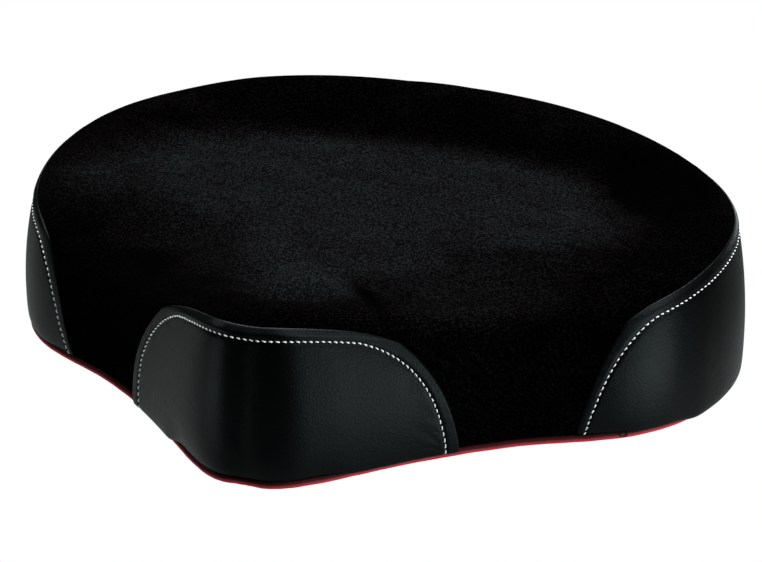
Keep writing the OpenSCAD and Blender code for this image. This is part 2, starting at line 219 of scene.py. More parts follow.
def side_line(s, top, start, reach):
    """t along a line that comes up from the hem and runs to the back, climbing a little."""
    climb = SIDE_CLIMB * ((s - start) / (BACK - start)) ** 2
    return (top + climb) * (1 - (1 - np.clip((s - start) / reach, 0, 1)) ** 2) ** (1 / SIDE_POWER)


def panel_edge(kind, s):
    """How far up the wall a panel's edge runs, in t."""
    if kind == "front":
        return front_line(s, FRONT_TOP, FRONT_END)
    return side_line(s, SIDE_TOP, SIDE_START, SIDE_REACH)


def noise1(x, seed, scale):
    """Smooth repeatable wobble along x, between about -1 and 1."""
    rng = np.random.default_rng(seed)
    total = np.zeros(np.shape(x))
    for k in range(1, 6):
        total += np.sin(np.asarray(x) / scale * k * (1 + 0.13 * rng.random()) + rng.random() * 6.28) / k
    return total / 1.6


# ---------- mesh builders ----------

def add_mesh(name, points_mm, faces, look, smooth_shade=True):
    """A mesh object from points in millimetres."""
    mesh = bpy.data.meshes.new(name)
    mesh.from_pydata((np.asarray(points_mm) * MM).tolist(), [], faces)
    mesh.validate()
    mesh.update()
    if smooth_shade:
        mesh.polygons.foreach_set("use_smooth", [True] * len(mesh.polygons))
    mesh.materials.append(look)
    obj = bpy.data.objects.new(name, mesh)
    bpy.context.scene.collection.objects.link(obj)
    return obj


def grid_faces(m, n, start=0, wrap=False, flip=False):
    """Quads over m columns of n points each; wrap joins the last column to the first."""
    i = np.arange(m if wrap else m - 1)
    j = np.arange(n - 1)
    a = (i[:, None] * n + j[None]).ravel()
    b = (((i + 1) % m)[:, None] * n + j[None]).ravel()
    quads = np.stack([a, b, b + 1, a + 1], 1) + start
    return (quads[:, ::-1] if flip else quads).tolist()


def shell(name, outer, inner, look, wrap=False):
    """A closed skin between two grids of the same shape, columns by rows."""
    m, n = outer.shape[:2]
    points = np.concatenate([outer.reshape(-1, 3), inner.reshape(-1, 3)])
    size = m * n
    faces = grid_faces(m, n, 0, wrap) + grid_faces(m, n, size, wrap, flip=True)
    for row in (0, n - 1):
        for i in range(m if wrap else m - 1):
            a, b = i * n + row, ((i + 1) % m) * n + row
            quad = [a, a + size, b + size, b]
            faces.append(quad if row == 0 else quad[::-1])
    if not wrap:
        for column in (0, m - 1):
            for j in range(n - 1):
                a, b = column * n + j, column * n + j + 1
                quad = [a, b, b + size, a + size]
                faces.append(quad if column == 0 else quad[::-1])
    return add_mesh(name, points, faces, look)


def tube(name, sections, look, closed):
    """A tube through sections of equal numbers of points; open tubes get flat ends."""
    m, n = sections.shape[:2]
    faces = []
    for i in range(m if closed else m - 1):
        for j in range(n):
            k, l = (i + 1) % m, (j + 1) % n
            faces.append([i * n + j, k * n + j, k * n + l, i * n + l])
    if not closed:
        faces += [list(range(n)), [(m - 1) * n + j for j in range(n)][::-1]]
    return add_mesh(name, sections.reshape(-1, 3), faces, look)


def add_value(obj, name, values):
    """A number at each vertex that the material can read."""
    layer = obj.data.attributes.new(name, "FLOAT", "POINT")
    layer.data.foreach_set("value", np.asarray(values, float).ravel())


def nearest(points, curve):
    """Distance from each point to the nearest of the curve's points."""
    tree = kdtree.KDTree(len(curve))
    for i, p in enumerate(curve):
        tree.insert(p, i)
    tree.balance()
    flat = points.reshape(-1, 3)
    return np.array([tree.find(p)[2] for p in flat]).reshape(points.shape[:-1])


CLOTH_FRAMES = 20
CLOTH_PRESSURE = 4.0


def cloth_run(start, held, faces):
    """Where the points are after a short cloth simulation with air behind them, in mm."""
    cloth = add_mesh("cloth_run", start.reshape(-1, 3), faces, VELOUR)
    pins = cloth.vertex_groups.new(name="held")
    for i in np.flatnonzero(held):
        pins.add([int(i)], 1.0, "REPLACE")
    run = cloth.modifiers.new("cloth", "CLOTH")
    run.settings.quality = 5
    run.settings.mass = 0.2
    run.settings.tension_stiffness = 40
    run.settings.compression_stiffness = 40
    run.settings.shear_stiffness = 20
    run.settings.bending_stiffness = 2
    run.settings.use_pressure = True
    run.settings.uniform_pressure_force = CLOTH_PRESSURE
    run.settings.vertex_group_mass = "held"
    run.settings.effector_weights.gravity = 0
    run.point_cache.frame_start = 1
    run.point_cache.frame_end = CLOTH_FRAMES
    for number in range(1, CLOTH_FRAMES + 1):
        bpy.context.scene.frame_set(number)
    shown = cloth.evaluated_get(bpy.context.evaluated_depsgraph_get())
    after = np.empty(start.size)
    shown.data.vertices.foreach_get("co", after)
    bpy.data.objects.remove(cloth)
    bpy.context.scene.frame_set(1)
    return after.reshape(start.shape) / MM


def filled_in(move, columns, rows, shape):
    """Moves known at some columns and rows of a grid, filled in for all of its points."""
    across = np.empty((shape[0], len(rows), 3))
    full = np.empty(shape)
    for axis in range(3):
        for j in range(len(rows)):
            across[:, j, axis] = np.interp(np.arange(shape[0]), columns, move[:, j, axis])
        for i in range(shape[0]):
            full[i, :, axis] = np.interp(np.arange(shape[1]), rows, across[i, :, axis])
    return full


def puffed(grid, held, stride, most, wrap=False):
    """The grid swollen by a cloth run on every stride-th of its points.

    Held points stay, and the others move by up to most mm.
    """
    columns = np.arange(0, len(grid), stride)
    if not wrap and columns[-1] != len(grid) - 1:
        columns = np.append(columns, len(grid) - 1)
    rows = np.unique(np.append(np.arange(0, grid.shape[1], stride), grid.shape[1] - 1))
    coarse = np.ix_(columns, rows)
    start = grid[coarse]
    faces = grid_faces(*start.shape[:2], wrap=wrap)
    move = cloth_run(start, held[coarse], faces) - start
    far = np.linalg.norm(move, axis=-1, keepdims=True)
    move *= most * np.tanh(far / most) / np.maximum(far, 1e-9)
    if wrap:
        columns = np.append(columns, len(grid))
        move = np.concatenate([move, move[:1]])
    return grid + filled_in(move, columns, rows, grid.shape)


# ---------- materials ----------

def material(name, base=(0.5, 0.5, 0.5), roughness=0.5, metallic=0.0, **inputs):
    """A material, and its Principled shader node."""
    m = bpy.data.materials.new(name)
    m.use_nodes = True
    shader = m.node_tree.nodes["Principled BSDF"]
    shader.inputs["Base Color"].default_value = (*base, 1)
    shader.inputs["Roughness"].default_value = roughness
    shader.inputs["Metallic"].default_value = metallic
    for key, value in inputs.items():
        shader.inputs[key.replace("_", " ")].default_value = value
    return m, shader


def add(m, kind, **values):
    """A node of this kind with its properties or inputs set."""
    n = m.node_tree.nodes.new("ShaderNode" + kind)
    for key, value in values.items():
        label = key.replace("_", " ")
        if label in n.inputs:
            n.inputs[label].default_value = value
        else:
            setattr(n, key, value)
    return n


def wire(m, a, out, b, into):
    m.node_tree.links.new(a.outputs[out], b.inputs[into])


def mapped(m, scale=(1, 1, 1), turn=(0, 0, 0)):
    """Object coordinates, which are the row frame in metres, scaled and turned."""
    coords = add(m, "TexCoord")
    mapping = add(m, "Mapping")
    mapping.inputs["Scale"].default_value = scale
    mapping.inputs["Rotation"].default_value = turn
    wire(m, coords, "Object", mapping, "Vector")
    return mapping


def noise(m, where, scale, detail=3.0, rough=0.55, distortion=0.0):
    n = add(m, "TexNoise", Scale=scale, Detail=detail, Roughness=rough, Distortion=distortion)
    wire(m, where, "Vector", n, "Vector")
    return n


def ramp(m, source, out, stops):
    """Colours for a number, from stops of a place and a colour."""
    r = add(m, "ValToRGB")
    elements = r.color_ramp.elements
    while len(elements) < len(stops):
        elements.new(0.5)
    for e, (at, colour) in zip(elements, stops):
        e.position = at
        e.color = (*colour, 1)
    wire(m, source, out, r, "Fac")
    return r


def maths(m, operation, a, a_out, b=None, b_out=None, value=0.5):
    """Arithmetic on one node's output and another's, or on one output and a value."""
    n = add(m, "Math", operation=operation)
    wire(m, a, a_out, n, 0)
    if b is None:
        n.inputs[1].default_value = value
    else:
        wire(m, b, b_out, n, 1)
    return n


def bump(m, shader, height, out, distance, strength=1.0, under=None):
    """Bumps of this height in metres, on top of those of the bump node under."""
    b = add(m, "Bump", Strength=strength, Distance=distance)
    wire(m, height, out, b, "Height")
    if under is not None:
        wire(m, under, "Normal", b, "Normal")
    wire(m, b, "Normal", shader, "Normal")
    return b


# How bright the flecks get where the painted light map is 0 (painted shade) and where it is full
# (painted light).
SHADED_LEVEL = 0.03
LIT_LEVEL = 0.75


def velour_material():
    """Black short-pile velour: flecks in knit rows and brushed patches, with painted light and painted
    shade read from a mesh attribute: brighter where the velour is painted as lit, near black where it is
    painted in shade.
    """
    m, shader = material("black_velour", roughness=0.95, Specular_IOR_Level=0.0, Sheen_Weight=0.002,
                         Sheen_Roughness=0.5)
    where = mapped(m)
    pile = noise(m, where, 660, detail=1.5, rough=0.7)
    brushing = mapped(m, scale=(1, 1.9, 1), turn=(0, 0, 0.4))
    patches = noise(m, brushing, 24, detail=3, rough=0.55, distortion=0.6)
    flecks = ramp(m, pile, "Fac", [(0.46, (0, 0, 0)), (0.62, (1, 1, 1))])
    brushed = ramp(m, patches, "Fac", [(0.34, (0.75, 0.75, 0.75)), (0.64, (1, 1, 1))])
    rows = add(m, "TexWave", Scale=225, Distortion=2.5, Detail=1.0)
    wire(m, mapped(m, turn=(0.3, 0.2, 0.75)), "Vector", rows, "Vector")
    row_tone = add(m, "MapRange", To_Min=0.35, To_Max=1.1)
    wire(m, rows, "Fac", row_tone, "Value")
    # The painted light and shade map, made with the covers' mesh.
    painted_lighting = add(m, "Attribute", attribute_name="painted_lighting")
    edge = maths(m, "MULTIPLY", patches, "Fac", value=0.4)
    ragged = maths(m, "ADD", painted_lighting, "Fac", edge, "Value")
    # Painted light: the flecks' brightness follows the map, from painted shade up to painted light.
    lit_gain = add(m, "MapRange", From_Min=0.0, From_Max=1.5, To_Min=SHADED_LEVEL, To_Max=1.25 * LIT_LEVEL)
    wire(m, ragged, "Value", lit_gain, "Value")
    # Painted light: an even brightness added where the map is high, on top of the lit flecks.
    flat = add(m, "MapRange", From_Min=0.2, From_Max=1.5, To_Min=0.0, To_Max=0.17)
    wire(m, ragged, "Value", flat, "Value")
    fleck = maths(m, "MULTIPLY", flecks, "Color", row_tone, "Result")
    lit = maths(m, "MULTIPLY", fleck, "Value", lit_gain, "Result")
    both = maths(m, "ADD", lit, "Value", flat, "Result")
    amount = maths(m, "MULTIPLY", both, "Value", brushed, "Color")
    colour = ramp(m, amount, "Value", [(0.0, (0.0001, 0.0, 0.0)), (0.14, (0.0017, 0.0013, 0.0014)),
                                       (1.0, (0.0092, 0.0116, 0.0126))])
    wire(m, colour, "Color", shader, "Base Color")
    knit = maths(m, "MULTIPLY", rows, "Fac", value=0.35)
    height = maths(m, "ADD", pile, "Fac", knit, "Value")
    bump(m, shader, height, "Value", 0.0006, 0.8)
    return m


def leather_material():
    """Smooth black leatherette: fine pebble grain, slightly uneven gloss."""
    m, shader = material("black_leatherette", roughness=0.42, Specular_IOR_Level=0.066)
    shader.inputs["Specular Tint"].default_value = (0.84, 1.0, 1.03, 1)
    where = mapped(m)
    grain = add(m, "TexVoronoi", Scale=900.0, feature="SMOOTH_F1")
    wire(m, where, "Vector", grain, "Vector")
    creases = noise(m, where, 130, detail=5, rough=0.6, distortion=0.6)
    uneven = noise(m, where, 22, detail=3)
    tone = ramp(m, uneven, "Fac", [(0.3, (0.0002, 0.0002, 0.0002)), (0.7, (0.0005, 0.0006, 0.0006))])
    wire(m, tone, "Color", shader, "Base Color")
    gloss = add(m, "MapRange", To_Min=0.34, To_Max=0.42)
    wire(m, creases, "Fac", gloss, "Value")
    wire(m, gloss, "Result", shader, "Roughness")
    wrinkles = noise(m, mapped(m, scale=(1, 1, 4)), 55, detail=5, rough=0.6, distortion=1.2)
    folds = bump(m, shader, wrinkles, "Fac", 0.0008, 0.18)
    low = bump(m, shader, creases, "Fac", 0.0006, 0.12, under=folds)
    bump(m, shader, grain, "Distance", 0.0003, 0.3, under=low)
    return m


def piping_material():
    """Red vinyl, with painted shade darkening its top where it runs under the covers."""
    m, shader = material("red_vinyl", roughness=0.45, Specular_IOR_Level=0.03)
    where = mapped(m)
    creases = noise(m, where, 260, detail=4, rough=0.6)
    shade = noise(m, where, 60, detail=2)
    tone = ramp(m, shade, "Fac", [(0.3, (0.38, 0.036, 0.050)), (0.7, (0.47, 0.046, 0.064))])
    facing = add(m, "NewGeometry")
    upright = add(m, "SeparateXYZ")
    wire(m, facing, "Normal", upright, "Vector")
    # Painted shade: the colour darkens as the surface turns upwards, where the covers' overhang shades
    # the piping.
    painted_shade = add(m, "MapRange", From_Min=-0.4, From_Max=0.45, To_Min=1.0, To_Max=0.08)
    wire(m, upright, "Z", painted_shade, "Value")
    shaded_tone = add(m, "VectorMath", operation="SCALE")
    wire(m, tone, "Color", shaded_tone, 0)
    wire(m, painted_shade, "Result", shaded_tone, "Scale")
    wire(m, shaded_tone, "Vector", shader, "Base Color")
    bump(m, shader, creases, "Fac", 0.0006, 0.35)
    return m


def thread_material(name, dark, light, scale=2600):
    m, shader = material(name, roughness=0.7, Specular_IOR_Level=0.2)
    fibres = noise(m, mapped(m), scale, detail=3)
    tone = ramp(m, fibres, "Fac", [(0.3, dark), (0.65, light)])
    wire(m, tone, "Color", shader, "Base Color")
    bump(m, shader, fibres, "Fac", 0.0002, 0.4)
    return m


def foam_material():
    m, shader = material("cut_foam", roughness=0.95)
    cells = add(m, "TexVoronoi", Scale=700.0)
    wire(m, mapped(m), "Vector", cells, "Vector")
    tone = ramp(m, cells, "Distance", [(0.0, (0.50, 0.42, 0.24)), (0.6, (0.78, 0.70, 0.47))])
    wire(m, tone, "Color", shader, "Base Color")
    bump(m, shader, cells, "Distance", 0.001, 0.6)
    return m


def cloth_material(name, dark, light, scale):
    """Felted or woven black cloth for the underside."""
    m, shader = material(name, roughness=0.92, Sheen_Weight=0.15)
    fibres = noise(m, mapped(m, scale=(1, 3, 1)), scale, detail=4, rough=0.7)
    cross_fibres = noise(m, mapped(m, scale=(3, 1, 1), turn=(0, 0, 0.2)), scale, detail=4, rough=0.7)
    both = maths(m, "ADD", fibres, "Fac", cross_fibres, "Fac")
    tone = ramp(m, both, "Value", [(0.8, dark), (1.3, light)])
    wire(m, tone, "Color", shader, "Base Color")
    bump(m, shader, both, "Value", 0.0005, 0.5)
    return m


def plywood_material():
    m, shader = material("birch_plywood", roughness=0.6)
    grain = noise(m, mapped(m, scale=(1, 14, 1)), 30, detail=5, rough=0.65, distortion=0.4)
    face = ramp(m, grain, "Fac", [(0.3, (0.42, 0.27, 0.13)), (0.7, (0.62, 0.44, 0.25))])
    plies = add(m, "TexWave", Scale=150.0, bands_direction="Z", Distortion=0.4)
    wire(m, mapped(m), "Vector", plies, "Vector")
    edge = ramp(m, plies, "Fac", [(0.35, (0.22, 0.12, 0.055)), (0.6, (0.60, 0.42, 0.23))])
    geometry = add(m, "NewGeometry")
    upright = add(m, "SeparateXYZ")
    wire(m, geometry, "Normal", upright, "Vector")
    flat = maths(m, "ABSOLUTE", upright, "Z")
    mix = add(m, "MixRGB")
    wire(m, flat, "Value", mix, "Fac")
    wire(m, edge, "Color", mix, "Color1")
    wire(m, face, "Color", mix, "Color2")
    wire(m, mix, "Color", shader, "Base Color")
    bump(m, shader, grain, "Fac", 0.0005, 0.3)
    return m


def coated_material():
    """Black powder coat with its orange-peel texture."""
    m, shader = material("black_powder_coat", base=(0.018, 0.018, 0.019), roughness=0.45)
    peel = noise(m, mapped(m), 900, detail=2)
    wear = noise(m, mapped(m), 60, detail=4, rough=0.7)
    tone = ramp(m, wear, "Fac", [(0.3, (0.014, 0.014, 0.015)), (0.75, (0.026, 0.026, 0.027))])
    wire(m, tone, "Color", shader, "Base Color")
    bump(m, shader, peel, "Fac", 0.0004, 0.35)
    return m


def zinc_material():
    m, shader = material("zinc_plated_steel", base=(0.56, 0.57, 0.58), roughness=0.3, metallic=1.0)
    cloud = noise(m, mapped(m), 240, detail=4, rough=0.6)
    tone = ramp(m, cloud, "Fac", [(0.3, (0.44, 0.45, 0.46)), (0.7, (0.64, 0.65, 0.66))])
    wire(m, tone, "Color", shader, "Base Color")
    gloss = add(m, "MapRange", To_Min=0.24, To_Max=0.42)
    wire(m, cloud, "Fac", gloss, "Value")
    wire(m, gloss, "Result", shader, "Roughness")
    return m


def nylon_material():
    m, shader = material("black_nylon", base=(0.022, 0.022, 0.022), roughness=0.55)
    texture = noise(m, mapped(m), 1400, detail=2)
    tone = ramp(m, texture, "Fac", [(0.3, (0.018, 0.018, 0.018)), (0.7, (0.03, 0.03, 0.03))])
    wire(m, tone, "Color", shader, "Base Color")
    bump(m, shader, texture, "Fac", 0.0002, 0.3)
    return m


VELOUR = velour_material()
LEATHER = leather_material()
RED = piping_material()
WHITE_THREAD = thread_material("white_thread", (0.68, 0.69, 0.68), (0.86, 0.87, 0.86))
BLACK_THREAD = thread_material("black_thread", (0.004, 0.004, 0.004), (0.02, 0.02, 0.02))
CORD = thread_material("cotton_cord", (0.5, 0.47, 0.38), (0.8, 0.77, 0.68), scale=900)
FOAM = foam_material()
SKIRT = cloth_material("black_pull_cloth", (0.006, 0.006, 0.0065), (0.03, 0.03, 0.032), 1500)
DUST = cloth_material("black_dust_cloth", (0.010, 0.010, 0.011), (0.045, 0.045, 0.047), 700)
PLYWOOD = plywood_material()
COAT = coated_material()
ZINC = zinc_material()
NYLON = nylon_material()

CAD_LOOKS = {"base_board": PLYWOOD, "tee_nuts": ZINC, "piping_cord": CORD, "skirt_staples": ZINC,
             "dust_cover_staples": ZINC, "bracket_plate": COAT, "bracket_sleeve": COAT,
             "bracket_gussets": COAT, "bracket_bolts": ZINC, "lock_washers": ZINC,
             "flat_washers": ZINC, "post_liner": NYLON, "clamp_shoe": ZINC, "clamp_screw": ZINC,
             "t_handle": COAT, "handle_pin": ZINC}


def dress_cad_nodes():
    """Gives the CAD's own visible nodes their materials."""
    for name, look in CAD_LOOKS.items():
        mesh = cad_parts[name].data
        mesh.materials.clear()
        mesh.materials.append(look)


# ---------- stations ----------

def front_stations(count):
    """s along the nose's panel, closer together at its two ends."""
    return FRONT_END * np.sin(np.linspace(-np.pi / 2, np.pi / 2, 2 * count + 1))


def side_stations(count, power=1.7):
    """s along a side panel, closer together at its front end."""
    return SIDE_START + (BACK - SIDE_START) * np.linspace(0, 1, count + 1) ** power


HOLE_STEPS = 900
STITCH_STEPS = 1500
BACK_GAP = 0.03
LOWEST_T = 0.05


def stitch_curve(kind, count):
    """s and t along a panel's stitch line, evenly spaced by length, and the line's length."""
    if kind == "front":
        top, end = STITCH_FRONT
        s = end * np.sin(np.linspace(-np.pi / 2, np.pi / 2, count))
        t = front_line(s, top, end, STITCH_POWERS)
    else:
        top, start, reach = STITCH_SIDE
        s = start + (BACK - BACK_GAP - start) * np.linspace(0, 1, count) ** 2
        t = side_line(s, top, start, reach)
    t = np.maximum(t, LOWEST_T)
    points = cover_point(s, t)
    run = np.concatenate([[0], np.cumsum(np.linalg.norm(np.diff(points, axis=0), axis=1))])
    even = np.linspace(0, run[-1], count)
    return np.interp(even, run, s), np.interp(even, run, t), run[-1]


# ---------- covers ----------

LEATHER_RISE = 0.7
LEATHER_T = 1.1
FOLD_R = 1.6
PUFF = 0.85
PUFF_AT = 5.2
PUFF_W = 2.7
PINCH = 0.5
PINCH_W = 1.3
DIMPLE = 0.22
DIMPLE_W = 0.9
STITCH_PITCH = 3.9
THREAD_R = 0.43
SEAM_DEEP = 0.9
SEAM_W = 1.4
SEAM_SPAN = (-0.8, 2.6)
PUCKER = 0.10
PUCKER_W = 5.0
SLACK = 0.16
SLACK_FROM = 20
FLAT_BELOW_T = 1.9
FLAT_FULLNESS = 0.12


def edge_curve(kind):
    """Points along a panel's edge."""
    s = front_stations(700) if kind == "front" else side_stations(1800, 2.2)
    return cover_point(s, panel_edge(kind, s))


def stitch_holes(kind):
    """s and t of the needle holes."""
    s, t, length = stitch_curve(kind, HOLE_STEPS)
    count = int(length / STITCH_PITCH)
    at = np.linspace(0, len(s) - 1, count + 1)
    index = np.arange(len(s))
    return np.interp(at, index, s), np.interp(at, index, t)


def back_seam():
    """The line where the side panels are sewn together behind."""
    return cover_point(BACK, np.linspace(*SEAM_SPAN, 200))


def stitch_line(kind):
    """Points along a panel's stitch line."""
    s, t, _ = stitch_curve(kind, STITCH_STEPS)
    return cover_point(s, t)


def leather_lift(kind, s, t):
    """How far the leatherette stands off the foam's surface: folded edge, puffed strip, stitches."""
    points = cover_point(s, t)
    to_edge = nearest(points, edge_curve(kind))
    to_stitch = nearest(points, stitch_line(kind))
    hs, ht = stitch_holes(kind)
    to_hole = nearest(points, cover_point(hs, ht))
    fold = np.sqrt(1 - (1 - np.clip(to_edge / FOLD_R, 0, 1)) ** 2)
    full = FLAT_FULLNESS + (1 - FLAT_FULLNESS) * smooth((t - FLAT_BELOW_T) / 0.3)
    puff = PUFF * full * hump(to_edge - PUFF_AT, PUFF_W)
    pinch = PINCH * hump(to_stitch, PINCH_W)
    dimple = DIMPLE * hump(to_hole, DIMPLE_W)
    pucker = PUCKER * hump(to_stitch, PUCKER_W) * noise1(points[..., 0] + points[..., 2] * 1.3, 5, 5.5)
    slack = SLACK * noise1(points[..., 0] * 0.7 + points[..., 1], 8, 21) * smooth(to_edge / SLACK_FROM)
    seam = SEAM_DEEP * hump(nearest(points, back_seam()), SEAM_W) if kind == "side" else 0.0
    return LEATHER_RISE * fold + (puff - pinch - dimple) * fold + pucker * fold + slack - seam


NOSE_DROOP_LEFT = -1.55
NOSE_DROOP_RIGHT = 1.35
NOSE_RIGHT_SHARE = 0.55
NOSE_DROOP_FADE = 0.35
# The two steps in which a flank's hem comes down: share, start and length along s.
FLANK_DROOP = ((0.4, 3.45, 0.35), (0.6, 4.0, 0.3))
FLANK_DROOP_END = 6.6
FLANK_DROOP_FADE = 0.8


def droop_at(kind, s):
    """How far a panel's hem hangs over the piping: at the nose panel's ends and on the flanks."""
    if kind == "front":
        left = smooth((NOSE_DROOP_LEFT - s) / NOSE_DROOP_FADE)
        right = NOSE_RIGHT_SHARE * smooth((s - NOSE_DROOP_RIGHT) / NOSE_DROOP_FADE)
        return np.maximum(left, right)
    start = sum(share * smooth((s - at) / fade) for share, at, fade in FLANK_DROOP)
    return start * smooth((FLANK_DROOP_END - s) / FLANK_DROOP_FADE)


COVER_FOOT_T = -0.8
HEM_FADE_T = 0.9
EDGE_ROWS_FROM = 0.93
LEAST_SKIN = 0.3
PANEL_PUFF = 0.8
PANEL_HELD_T = 0.12
PANEL_HELD_EDGE = 1.6
PANEL_HELD_STITCH = 1.2


def panel_grid(kind):
    """s and t of a panel's points, with rows crowded together where the edge folds under."""
    s = front_stations(160) if kind == "front" else side_stations(360)
    crowd = np.sin(np.linspace(0, np.pi / 2, 16))
    rows = np.concatenate([np.linspace(0, EDGE_ROWS_FROM, 90)[:-1],
                           EDGE_ROWS_FROM + (1 - EDGE_ROWS_FROM) * crowd])
    edge = panel_edge(kind, s)
    return (np.repeat(s[:, None], len(rows), 1),
            COVER_FOOT_T + (edge[:, None] - COVER_FOOT_T) * rows[None])


def held_leather(kind, s, t):
    """Where a panel is held: along its hem, its edge and its stitches."""
    base = cover_point(s, t)
    at_edge = nearest(base, edge_curve(kind)) < PANEL_HELD_EDGE
    at_stitch = nearest(base, stitch_line(kind)) < PANEL_HELD_STITCH
    return (t < PANEL_HELD_T) | at_edge | at_stitch


def leather_panel(name, kind, node, mirrored=False):
    """A leatherette panel: a closed skin over the foam, stitched near its folded edge."""
    s, t = panel_grid(kind)
    hem = smooth(t + HEM_FADE_T)
    lift = leather_lift(kind, s, t) * hem
    under = np.minimum(lift - LEAST_SKIN, LEATHER_RISE - LEATHER_T) * hem
    droop = droop_at(kind, s)
    outer = puffed(cover_point(s, t, lift, droop), held_leather(kind, s, t), 2, PANEL_PUFF)
    inner = cover_point(s, t, under, droop)
    if mirrored:
        outer[..., 0] *= -1
        inner[..., 0] *= -1
        outer, inner = outer[::-1], inner[::-1]
    obj = shell(name, outer, inner, LEATHER)
    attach(obj, "seat")
    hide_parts(node)


# Each oval of painted light on the velour: its middle, its half-widths, and the start and length of its
# edge's fade.
SEAT_OVAL = ((-4, 36), (186, 82), 0.72, 0.36)
FRONT_OVAL = ((0, -25), (175, 100), 0.55, 0.5)
MIDDLE_OVAL = ((0, -20), (105, 95), 0.5, 0.5)
FRONT_STRENGTH = 0.5
# Each mark of painted light, and below them the marks of painted shade: its strength, the x and y of its
# middle, and its half-widths in x and y.
PAD_LIGHT = (1.6, 2, -88, 40, 34)
LEFT_LIGHT = (0.75, -172, 8, 34, 30)
GORE_LIGHT = (0.55, 125, -105, 65, 45)
SHADE_MARKS = ((1.0, 172, 80, 30, 30), (0.5, -108, -74, 24, 18), (0.25, -130, -110, 70, 55))
# Painted shade along the pad's right-hand side: where it is, its slant, its middle in y, and its
# strength and half-widths.
CREASE_AT = (42, -100)
CREASE_SLANT = 0.75
CREASE_MID_Y = -98
CREASE_SHADE = (0.8, 7, 17)
PAINTED_LEAST = -0.2
PAINTED_MOST = 1.5
WALL_SHADE = 0.25


def mark(x, y, row):
    """One soft oval mark of the painted light and shade map."""
    strength, mid_x, mid_y, wide, deep = row
    return strength * hump(x - mid_x, wide) * hump(y - mid_y, deep)


def oval(x, y, mid, half, start, fade):
    """1 inside an oval, fading to 0 from start to start + fade of its size."""
    return 1 - smooth((np.hypot((x - mid[0]) / half[0], (y - mid[1]) / half[1]) - start) / fade)


def crease_shade(x, y):
    """Painted shade along the short crease beside the pad on the nose."""
    strength, wide, deep = CREASE_SHADE
    across = (x - CREASE_AT[0]) + CREASE_SLANT * (y - CREASE_AT[1])
    return strength * hump(across, wide) * hump(y - CREASE_MID_Y, deep)


def painted_lighting_at(points):
    """The painted light and shade on the velour: about 1 where it is painted as lit, 0 or less where it
    is painted in shade and looks black.
    """
    x, y = points[..., 0], points[..., 1]
    seat = oval(x, y, *SEAT_OVAL)
    front = FRONT_STRENGTH * oval(x, y, *FRONT_OVAL)
    middle = oval(x, y, *MIDDLE_OVAL)
    marks = [mark(x, y, row) for row in (PAD_LIGHT, LEFT_LIGHT, GORE_LIGHT)]
    # Painted shade, taken off the painted light.
    shaded = sum(mark(x, y, row) for row in SHADE_MARKS)
    lit = np.max([seat, front, middle, *marks], axis=0)
    return np.clip(lit - crease_shade(x, y) - shaded, PAINTED_LEAST, PAINTED_MOST)


VELOUR_PUFF = 1.2
SEAM_DIP = 0.25
SEAM_DIP_W = 2.2
VELOUR_HELD_SEAM = 1.5
VELOUR_HELD_T = 0.1
UNDER_PANELS = 1.4


def under_a_panel(s, t):
    """Where the velour's wall is hidden behind a leatherette panel."""
    folded = np.where(s > BACK, AROUND - s, s)
    edge = np.where(folded < FRONT_END, panel_edge("front", folded),
                    panel_edge("side", np.maximum(folded, SIDE_START)))
    return (t < edge) & ((folded < FRONT_END) | (folded > SIDE_START))


def velour_wall(s, t):
    """Points of the velour's wall, and where it is hidden or held at a seam."""
    right = edge_curve("side")
    seams = np.concatenate([edge_curve("front"), right, right * [-1, 1, 1]])
    to_seam = nearest(cover_point(s, t), seams)
    covered = under_a_panel(s, t)
    dip = np.where(covered, UNDER_PANELS, SEAM_DIP * hump(to_seam, SEAM_DIP_W))
    held = covered | (to_seam < VELOUR_HELD_SEAM) | (t < VELOUR_HELD_T)
    return cover_point(s, t, -dip), held


def velour_cover():
    """The top cover in one piece, from its hem over the rim to the middle of the seat."""
    s = np.linspace(0, AROUND, 640, endpoint=False)
    t = np.concatenate([np.linspace(COVER_FOOT_T, 0, 5)[:-1], np.linspace(0, CREST_T, 84)])
    q = np.linspace(1, 0, 76)[1:-1]
    wall_s, wall_t = np.meshgrid(s, t, indexing="ij")
    top_s, top_q = np.meshgrid(s, q, indexing="ij")
    wall, wall_held = velour_wall(wall_s, wall_t)
    top = top_point(top_s, top_q)
    held = np.concatenate([wall_held, np.zeros(top_s.shape, bool)], 1)
    outer = puffed(np.concatenate([wall, top], 1), held, 4, VELOUR_PUFF, wrap=True)
    m, n = outer.shape[:2]
    middle = outer[:, -1].mean(0)[None]
    faces = grid_faces(m, n, wrap=True)
    faces += [[i * n + n - 1, ((i + 1) % m) * n + n - 1, m * n] for i in range(m)]
    obj = add_mesh("top_cover_velour", np.concatenate([outer.reshape(-1, 3), middle]), faces, VELOUR)
    # Painted shade on the wall: it keeps a quarter of its painted light below the rim's roll, rising to
    # full over the crest.
    over_rim = WALL_SHADE + (1 - WALL_SHADE) * smooth(wall_t - 2)
    painted_lighting = np.concatenate([painted_lighting_at(wall) * over_rim, painted_lighting_at(top)], 1)
    add_value(obj, "painted_lighting", np.append(painted_lighting.ravel(), 1.0))
    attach(obj, "seat")
    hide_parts("top_cover")


# ---------- topstitching ----------

STITCH_SIDES = 8
STITCH_RINGS = 9
STITCH_SPAN = (0.06, 0.73)
THREAD_SINK = 0.35
THREAD_ARCH = 0.75
THREAD_SLANT = 0.22
THREAD_NECK = 0.55
PLY_DEPTH = 0.13
PLY_TURN = 5.0


